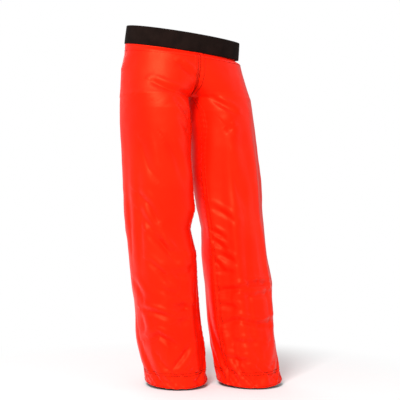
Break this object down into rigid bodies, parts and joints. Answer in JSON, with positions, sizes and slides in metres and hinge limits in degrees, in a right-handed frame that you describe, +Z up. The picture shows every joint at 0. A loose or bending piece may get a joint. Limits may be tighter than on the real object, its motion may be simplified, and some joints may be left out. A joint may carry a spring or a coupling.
{
  "type": "chainsaw chaps",
  "caption": "Full-wrap protective leg coverings with a padded front, a black waistband with a belt and buckle at the back, and zipped legs.",
  "frame": {"origin": "centre of the waistband ring, where the wearer's waist holds the chaps", "axes": "+Z up, the front faces -Y, +X is the wearer's left"},
  "size_m": [0.402, 0.3675, 0.9854],
  "materials": {
    "orange_shell": "smooth woven nylon with a soft sheen",
    "black_band": "matte woven elastic",
    "webbing": "ribbed woven webbing",
    "pad": "felted cut-resistant fibre",
    "lining": "light woven lining",
    "buckle_plastic": "moulded acetal",
    "zip_plastic": "nylon coil",
    "zip_metal": "nickel-plated zinc"
  },
  "bodies": {
    "waist": {"waistband": "black_band", "belt_webbing_left": "webbing", "belt_webbing_right": "webbing", "belt_keeper": "webbing", "buckle_socket": "buckle_plastic", "centre_seam_facing": "orange_shell", "front_lining": "lining", "front_panel_right": "orange_shell", "front_pad_right": "pad", "hip_fold_right": "orange_shell", "front_panel_left": "orange_shell", "front_pad_left": "pad", "hip_fold_left": "orange_shell"},
    "buckle_plug": {"buckle_plug": "buckle_plastic"},
    "right_thigh": {"right_thigh_front": "orange_shell", "right_thigh_outer": "orange_shell", "right_thigh_inner": "orange_shell", "right_thigh_pad": "pad", "right_thigh_lining": "lining", "right_thigh_zip_tapes": "zip_plastic", "right_thigh_zip_coils": "zip_plastic", "right_knee_fold": "orange_shell", "right_knee_zip": "zip_plastic"},
    "right_shin": {"right_shin_front": "orange_shell", "right_shin_outer": "orange_shell", "right_shin_inner": "orange_shell", "right_shin_pad": "pad", "right_shin_lining": "lining", "right_shin_zip_tapes": "zip_plastic", "right_shin_zip_coils": "zip_plastic", "right_hem_band": "orange_shell", "right_zip_stop": "zip_plastic", "right_snap_stud": "zip_metal"},
    "right_zip_slider": {"right_zip_slider": "zip_metal"},
    "right_zip_pull": {"right_zip_pull": "zip_metal"},
    "right_hem_tab": {"right_hem_tab": "orange_shell", "right_snap_cap": "zip_metal"},
    "left_thigh": {"left_thigh_front": "orange_shell", "left_thigh_outer": "orange_shell", "left_thigh_inner": "orange_shell", "left_thigh_pad": "pad", "left_thigh_lining": "lining", "left_thigh_zip_tapes": "zip_plastic", "left_thigh_zip_coils": "zip_plastic", "left_knee_fold": "orange_shell", "left_knee_zip": "zip_plastic"},
    "left_shin": {"left_shin_front": "orange_shell", "left_shin_outer": "orange_shell", "left_shin_inner": "orange_shell", "left_shin_pad": "pad", "left_shin_lining": "lining", "left_shin_zip_tapes": "zip_plastic", "left_shin_zip_coils": "zip_plastic", "left_hem_band": "orange_shell", "left_zip_stop": "zip_plastic", "left_snap_stud": "zip_metal"},
    "left_zip_slider": {"left_zip_slider": "zip_metal"},
    "left_zip_pull": {"left_zip_pull": "zip_metal"},
    "left_hem_tab": {"left_hem_tab": "orange_shell", "left_snap_cap": "zip_metal"}
  },
  "joints": [
    {"name": "buckle_release", "type": "slide", "parent": "waist", "child": "buckle_plug", "axis": [-0.9969, 0, 0.0785], "range_m": [0, 0.0284]},
    {"name": "right_hip_swing", "type": "hinge", "parent": "waist", "child": "right_thigh", "pos_m": [-0.091, -0.025, -0.135], "axis": [-1, 0, 0], "range_deg": [-10, 50], "stiffness_Nm_per_rad": 60, "deforming": ["hip_fold_right"]},
    {"name": "right_knee_bend", "type": "hinge", "parent": "right_thigh", "child": "right_shin", "pos_m": [-0.094, -0.054, -0.513], "axis": [1, 0, 0], "range_deg": [0, 70], "stiffness_Nm_per_rad": 30, "deforming": ["right_knee_fold", "right_knee_zip"]},
    {"name": "right_zip_slide", "type": "slide", "parent": "right_shin", "child": "right_zip_slider", "axis": [-0.0862, 0.0582, 0.9946], "range_m": [0, 0.234]},
    {"name": "right_pull_swing", "type": "hinge", "parent": "right_zip_slider", "child": "right_zip_pull", "pos_m": [-0.06352, 0.02141, -0.86476], "axis": [1, 0, 0], "range_deg": [0, 150]},
    {"name": "right_tab_open", "type": "hinge", "parent": "right_shin", "child": "right_hem_tab", "pos_m": [-0.08425, 0.01825, -0.9152], "axis": [-0.0862, 0.0582, 0.9946], "range_deg": [0, 120]},
    {"name": "left_hip_swing", "type": "hinge", "parent": "waist", "child": "left_thigh", "pos_m": [0.091, -0.025, -0.135], "axis": [-1, 0, 0], "range_deg": [-10, 50], "stiffness_Nm_per_rad": 60, "deforming": ["hip_fold_left"]},
    {"name": "left_knee_bend", "type": "hinge", "parent": "left_thigh", "child": "left_shin", "pos_m": [0.112, -0.09, -0.513], "axis": [1, 0, 0], "range_deg": [0, 70], "stiffness_Nm_per_rad": 30, "deforming": ["left_knee_fold", "left_knee_zip"]},
    {"name": "left_zip_slide", "type": "slide", "parent": "left_shin", "child": "left_zip_slider", "axis": [-0.0417, 0.1458, 0.9884], "range_m": [0, 0.236]},
    {"name": "left_pull_swing", "type": "hinge", "parent": "left_zip_slider", "child": "left_zip_pull", "pos_m": [0.12683, -0.0459, -0.86485], "axis": [1, 0, 0], "range_deg": [0, 150]},
    {"name": "left_tab_open", "type": "hinge", "parent": "left_shin", "child": "left_hem_tab", "pos_m": [0.15384, -0.05307, -0.91209], "axis": [0.0417, -0.1458, -0.9884], "range_deg": [0, 120]}
  ]
}
